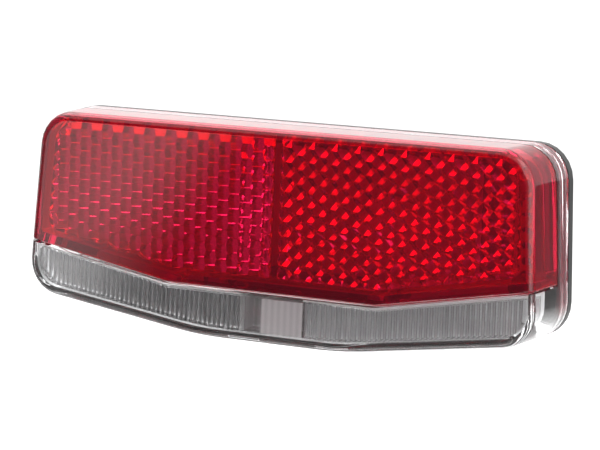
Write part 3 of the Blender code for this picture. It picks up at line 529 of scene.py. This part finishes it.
def left_of(azimuth, elevation, slant, blur):
    """1 on one side of a line through a direction, 0 on the other; slant leans the line."""
    ahead = direction(azimuth, elevation)
    side = ahead.cross(Vector((0, 0, 1))).normalized()
    over = side.cross(ahead)
    lean = math.radians(slant)
    normal = side * math.cos(lean) - over * math.sin(lean)
    half = math.sin(math.radians(blur))
    return soft_step(studio.dot(heading, tuple(normal)), -half, half)


print("patches: toward and left_of")

# %% [markdown]
# ## Lamps and cards
#
# Five soft lamps brighten the dome. A wide one stands high behind the left and fills the panel's
# upper rows. A stronger one beside it lights the spots of the right field. One at the upper
# right puts the gleam on the corner, one to the right lights the rims and the ribs, and a weak
# one behind is what the top face mirrors.
#
# Cards then cover parts of the dome, as black cards do round a real product. The left and the
# front are dark, so the red stays deep, and a low card in front keeps the left ribs grey. The
# side of the camera is dim, because that is what cube corners send back to the viewer. The last
# card is bright: the left half of the face mirrors it as a haze with a slanting border.

# %% Lamps
BASE_LEVEL = 1.35
LAMPS = [
    # azimuth, elevation, inner and outer radius in degrees, strength
    (-150, 65, 30, 45, 0.5),
    (-110, 58, 14, 26, 2.6),
    (70, 58, 12, 20, 2.5),
    (70, 25, 30, 45, 1.5),
    (210, 14, 9, 20, 0.2),
]
level = BASE_LEVEL
for azimuth, elevation, inner, outer, strength in LAMPS:
    level = level + toward(azimuth, elevation, inner, outer) * strength
print("lamps:", len(LAMPS))

# %% Cards
# above_floor is 1 down to 6 degrees below the horizon, and 0 from 9 degrees on
above_floor = toward(0, 90, 96, 99)
CARDS = [
    (toward(-75, 0, 34, 40), 0.3),
    (toward(-8, 8, 32, 40) * above_floor, 0.1),
    (toward(-22, -24, 12, 18), 0.25),
    (toward(30, 9, 10, 18), 0.42),
    (left_of(-32, -2.6, -30, 1.0) * toward(-34, -2, 4, 7), 1.7),
]
for card, brightness in CARDS:
    level = level * (1.0 - card) + card * brightness
seen = studio.node("ShaderNodeLightPath").out("Is Camera Ray")
background = studio.node("ShaderNodeBackground", None, {
    "Color": colour(1, 1, 1),
    "Strength": level * (1.0 - seen) + seen,
})
studio.node("ShaderNodeOutputWorld", None, {"Surface": background})
print("cards:", len(CARDS))

# %% [markdown]
# ## Floor
#
# The floor is a large sheet of pale paper below the light. It ends just in front of the light,
# where the low card takes over, and it grows darker behind, because the side walls mirror that
# part of it. For the camera alone it glows almost white, so that the background stays white
# while the light's shadow still shows. From below it is transparent, so that the underside can
# be looked at.

# %% Floor
FLOOR_HALF = 3.0
FLOOR_FRONT = -0.09
FLOOR_DROP = 80 * MM

floor_mesh = bpy.data.meshes.new("floor")
bm = bmesh.new()
bmesh.ops.create_grid(bm, x_segments=1, y_segments=1, size=FLOOR_HALF)
for corner in bm.verts:
    corner.co.y = max(corner.co.y, FLOOR_FRONT)
bm.to_mesh(floor_mesh)
bm.free()
floor = bpy.data.objects.new("floor", floor_mesh)
floor.location.z = -FLOOR_DROP
bpy.context.scene.collection.objects.link(floor)
print("floor", round(FLOOR_DROP / MM), "mm below the middle of the light")

# %% Paper of the floor
DARKER_FROM, DARKEST_AT = 0.1, 0.4
PALE_PAPER, DARK_PAPER = 0.85, 0.15
CAMERA_GLOW = 0.9

paper = bpy.data.materials.new("paper")
recipe = Recipe(paper)
ground = recipe.node("ShaderNodeNewGeometry")
tone = recipe.split(ground.out("Position")).out("Y").ramp(DARKER_FROM, DARKEST_AT, PALE_PAPER, DARK_PAPER)
sheet = recipe.node("ShaderNodeBsdfDiffuse", None, {"Color": recipe.pigment(tone, tone, tone)})
seen = recipe.node("ShaderNodeLightPath").out("Is Camera Ray")
glow = recipe.node("ShaderNodeEmission", None, {"Color": colour(1, 1, 1), "Strength": seen * CAMERA_GLOW})
lit = recipe.node("ShaderNodeAddShader", None, {0: sheet, 1: glow})
from_below = ground.out("Backfacing")
recipe.surface(recipe.mix_shaders(from_below, lit, recipe.node("ShaderNodeBsdfTransparent")))
floor_mesh.materials.append(paper)
print("made", paper.name)

# %% [markdown]
#
# The standard view shows a colour as it was written. Light needs many bounces here, because a
# path through the cover, the panel and its cells crosses a dozen surfaces before it leaves.

# %% Finish
scene = bpy.context.scene
scene.view_settings.view_transform = "Standard"
scene.cycles.max_bounces = 24
scene.cycles.transmission_bounces = 16
scene.cycles.glossy_bounces = 12
